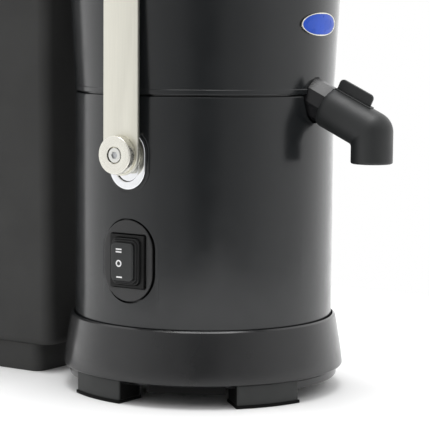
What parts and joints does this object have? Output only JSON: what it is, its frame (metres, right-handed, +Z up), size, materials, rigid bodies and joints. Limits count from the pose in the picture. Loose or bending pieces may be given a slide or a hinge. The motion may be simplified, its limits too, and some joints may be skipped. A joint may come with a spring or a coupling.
{
  "type": "centrifugal juicer",
  "caption": "Centrifugal juicer: black motor housing, juice bowl with a turning spout, lid with feed chute, steel lid-clamping bail and a pulp bin behind.",
  "frame": {"origin": "on the floor, at the middle of the whole footprint, in the mid-plane of the spout and the pulp bin", "axes": "+Z up, -Y towards the spout, -X towards the switch"},
  "size_m": [0.2114, 0.4156, 0.456],
  "materials": {
    "satin_black_plastic": "satin moulded plastic",
    "matte_black_plastic": "fine matte moulded plastic",
    "black_rubber": "matte rubber",
    "gloss_black_plastic": "gloss",
    "brushed_steel": "fine brushed",
    "bright_chrome": "polished",
    "cast_aluminium": "as cast",
    "motor_steel": "laminated steel, varnished",
    "badge_plate": "gloss"
  },
  "bodies": {
    "base": {"badge": "badge_plate", "base_skirt": "matte_black_plastic", "bearing_lower": "bright_chrome", "bearing_upper": "bright_chrome", "bottom_plate": "matte_black_plastic", "bowl_spout": "gloss_black_plastic", "cord_gland": "black_rubber", "feed_chute": "satin_black_plastic", "foot_1": "black_rubber", "foot_2": "black_rubber", "foot_3": "black_rubber", "foot_4": "black_rubber", "foot_screw_1": "motor_steel", "foot_screw_2": "motor_steel", "foot_screw_3": "motor_steel", "foot_screw_4": "motor_steel", "juice_bowl": "satin_black_plastic", "lid": "satin_black_plastic", "lift_spring_left": "brushed_steel", "lift_spring_right": "brushed_steel", "motor_bracket_lower": "cast_aluminium", "motor_bracket_upper": "cast_aluminium", "motor_housing": "satin_black_plastic", "motor_stator": "motor_steel", "pivot_plate_left": "bright_chrome", "pivot_plate_right": "bright_chrome", "pulp_duct": "satin_black_plastic", "run_capacitor": "cast_aluminium", "shaft_seal": "black_rubber", "switch_bezel": "gloss_black_plastic", "switch_body": "matte_black_plastic", "switch_boot": "black_rubber", "switch_panel": "matte_black_plastic"},
    "rotor": {"motor_rotor": "motor_steel", "motor_shaft": "brushed_steel", "cooling_fan": "matte_black_plastic", "drive_hub": "cast_aluminium", "sieve_basket": "brushed_steel", "grating_disc": "brushed_steel", "clamp_nut": "brushed_steel"},
    "rocker": {"switch_rocker": "gloss_black_plastic"},
    "nozzle": {"spout_nozzle": "black_rubber"},
    "pusher": {"pusher": "satin_black_plastic", "pusher_cap": "gloss_black_plastic"},
    "bin": {"pulp_bin": "matte_black_plastic"},
    "carriage": {"pivot_block_left": "bright_chrome", "pivot_block_right": "bright_chrome", "pivot_pin_left": "brushed_steel", "pivot_pin_right": "brushed_steel", "pivot_knob_left": "brushed_steel", "pivot_knob_right": "brushed_steel", "pivot_screw_left": "bright_chrome", "pivot_screw_right": "bright_chrome"},
    "bail": {"bail_strap_left": "brushed_steel", "bail_strap_right": "brushed_steel", "bail_lug_left": "matte_black_plastic", "bail_lug_right": "matte_black_plastic", "bail_grip": "matte_black_plastic", "grip_screw_left": "bright_chrome", "grip_screw_right": "bright_chrome"}
  },
  "joints": [
    {"name": "basket_spin", "type": "hinge", "parent": "base", "child": "rotor", "pos_m": [0, -0.0606, 0.15], "axis": [0, 0, 1], "continuous": true},
    {"name": "switch_rock", "type": "hinge", "parent": "base", "child": "rocker", "pos_m": [-0.084, -0.0606, 0.0956], "axis": [0, 1, 0], "range_deg": [-9, 9]},
    {"name": "nozzle_turn", "type": "hinge", "parent": "base", "child": "nozzle", "pos_m": [0, -0.1604, 0.1978], "axis": [0, -0.9063, -0.4226], "range_deg": [-120, 120]},
    {"name": "pusher_lift", "type": "slide", "parent": "base", "child": "pusher", "axis": [0, 0, 1], "range_m": [0, 0.15]},
    {"name": "bin_slide", "type": "slide", "parent": "base", "child": "bin", "axis": [0, 1, 0], "range_m": [0, 0.15]},
    {"name": "bail_lift", "type": "slide", "parent": "base", "child": "carriage", "axis": [0, 0, 1], "range_m": [0, 0.0015], "stiffness_N_per_m": 3000, "springref_m": -0.004, "deforming": ["lift_spring_left", "lift_spring_right"]},
    {"name": "bail_swing", "type": "hinge", "parent": "carriage", "child": "bail", "pos_m": [0, -0.0606, 0.1667], "axis": [1, 0, 0], "range_deg": [0, 95]}
  ]
}
